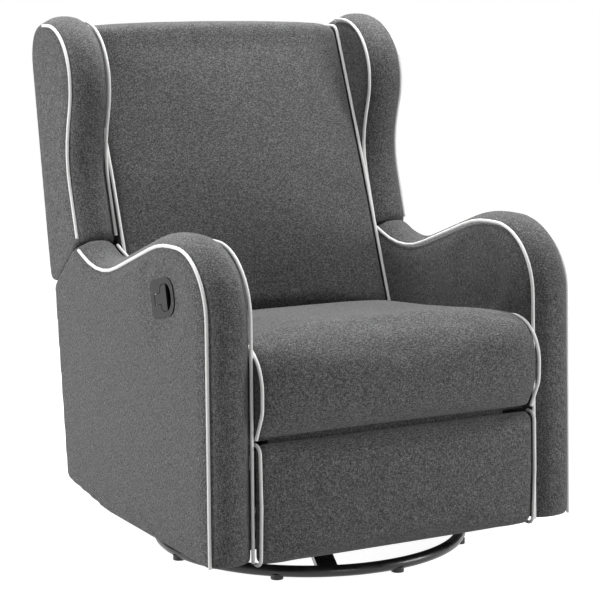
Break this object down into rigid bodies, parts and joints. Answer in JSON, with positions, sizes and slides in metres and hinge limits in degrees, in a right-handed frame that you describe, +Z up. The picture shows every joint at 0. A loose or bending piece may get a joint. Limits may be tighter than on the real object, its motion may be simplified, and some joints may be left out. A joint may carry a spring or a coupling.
{
  "type": "glider recliner",
  "caption": "Upholstered swivel glider recliner with wings, contrast piping, a fold-out footrest, a latch in the arm and a round tube base.",
  "frame": {"origin": "centre of the chair's outer box, on the floor", "axes": "+Z up, -Y the way the sitter faces, +X to the sitter's left"},
  "size_m": [0.778, 0.8854, 1.029],
  "materials": {
    "upholstery": "heathered charcoal weave",
    "piping": "plain white weave",
    "webbing": "woven elastic strap",
    "black_steel": "semi-gloss black",
    "bright_steel": "zinc plated",
    "timber": "sawn plywood and pine",
    "plastic": "moulded, matte"
  },
  "bodies": {
    "base": {"base_ring": "black_steel", "base_cross_bars": "black_steel", "base_glides": "plastic", "swivel_lower_race": "black_steel", "race_screws": "bright_steel", "swivel_balls": "bright_steel", "swivel_pivot": "bright_steel"},
    "turntable": {"swivel_upper_race": "black_steel", "glide_side_rails": "black_steel", "glide_cross_members": "black_steel", "glide_posts": "black_steel", "glide_upper_pins": "bright_steel"},
    "front_glide_links": {"glide_links_front": "black_steel", "front_link_bearings": "bright_steel"},
    "rear_glide_links": {"glide_links_rear": "black_steel", "rear_link_bearings": "bright_steel"},
    "chair": {"glide_lower_pins": "bright_steel", "carriage_rails": "black_steel", "mechanism_plate_left": "black_steel", "mechanism_plate_right": "black_steel", "back_pivot_pins": "bright_steel", "footrest_pivot_pins": "bright_steel", "seat_side_rails": "timber", "seat_cross_rails": "timber", "seat_springs": "bright_steel", "spring_clips": "bright_steel", "seat_cushion": "upholstery", "seat_piping": "piping", "arm_frame_left": "timber", "arm_frame_right": "timber", "arm_cover_left": "upholstery", "arm_cover_right": "upholstery", "arm_piping": "piping", "rear_panel": "upholstery", "latch_housing": "plastic", "latch_pin": "bright_steel", "latch_screws": "bright_steel", "release_cable": "plastic"},
    "latch_lever": {"latch_lever": "plastic"},
    "release_arm": {"release_arm": "black_steel"},
    "backrest": {"back_brackets": "black_steel", "back_posts": "timber", "back_rails": "timber", "back_webbing": "webbing", "outside_back": "upholstery", "back_cushion": "upholstery", "back_piping": "piping", "wing_left": "upholstery", "wing_right": "upholstery", "wing_piping": "piping"},
    "footrest_rear_links": {"footrest_rear_links": "black_steel", "footrest_torque_tube": "black_steel", "footrest_link_pins": "bright_steel"},
    "footrest_front_links": {"footrest_front_links": "black_steel"},
    "footrest_guide_links": {"footrest_guide_links": "black_steel"},
    "footrest": {"footrest_board": "timber", "footrest_pad": "upholstery", "footrest_piping": "piping", "footrest_brackets": "black_steel", "footrest_panel_pins": "bright_steel"}
  },
  "joints": [
    {"name": "swivel", "type": "hinge", "parent": "base", "child": "turntable", "pos_m": [0, -0.06273, 0.04], "axis": [0, 0, 1], "continuous": true},
    {"name": "glide", "type": "hinge", "parent": "turntable", "child": "front_glide_links", "pos_m": [0, -0.19273, 0.225], "axis": [1, 0, 0], "range_deg": [-25, 25]},
    {"name": "glide_rear", "type": "hinge", "parent": "turntable", "child": "rear_glide_links", "pos_m": [0, 0.06727, 0.225], "axis": [1, 0, 0], "range_deg": [-25, 25]},
    {"name": "glide_level", "type": "hinge", "parent": "front_glide_links", "child": "chair", "pos_m": [0, -0.19273, 0.092], "axis": [1, 0, 0], "range_deg": [-25, 25]},
    {"name": "recline", "type": "hinge", "parent": "chair", "child": "backrest", "pos_m": [0, 0.19627, 0.3], "axis": [-1, 0, 0], "range_deg": [0, 35]},
    {"name": "footrest_lift", "type": "hinge", "parent": "chair", "child": "footrest_rear_links", "pos_m": [0, -0.29173, 0.262], "axis": [-1, 0, 0], "range_deg": [0, 95]},
    {"name": "footrest_front_fold", "type": "hinge", "parent": "footrest_rear_links", "child": "footrest_front_links", "pos_m": [0, -0.29173, 0.137], "axis": [-1, 0, 0], "range_deg": [-125, 0]},
    {"name": "footrest_guide_fold", "type": "hinge", "parent": "footrest_rear_links", "child": "footrest_guide_links", "pos_m": [0, -0.2879, 0.09317], "axis": [-1, 0, 0], "range_deg": [-125, 0]},
    {"name": "footrest_turn", "type": "hinge", "parent": "footrest_front_links", "child": "footrest", "pos_m": [0, -0.36423, 0.26257], "axis": [-1, 0, 0], "range_deg": [0, 125]},
    {"name": "latch", "type": "hinge", "parent": "chair", "child": "latch_lever", "pos_m": [-0.38625, -0.1965, 0.52625], "axis": [0, -0.225, -0.9744], "range_deg": [0, 30], "stiffness_Nm_per_rad": 0.4},
    {"name": "release", "type": "hinge", "parent": "chair", "child": "release_arm", "pos_m": [-0.27275, -0.20373, 0.206], "axis": [1, 0, 0], "range_deg": [0, 22]}
  ],
  "couplings": [
    {"joint": "glide_rear", "follows": "glide", "ratio": 1},
    {"joint": "glide_level", "follows": "glide", "ratio": -1},
    {"joint": "footrest_front_fold", "follows": "footrest_lift", "ratio": -1.3157},
    {"joint": "footrest_guide_fold", "follows": "footrest_lift", "ratio": -1.3157},
    {"joint": "footrest_turn", "follows": "footrest_lift", "ratio": 1.3157},
    {"joint": "release", "follows": "latch", "ratio": 0.7}
  ]
}
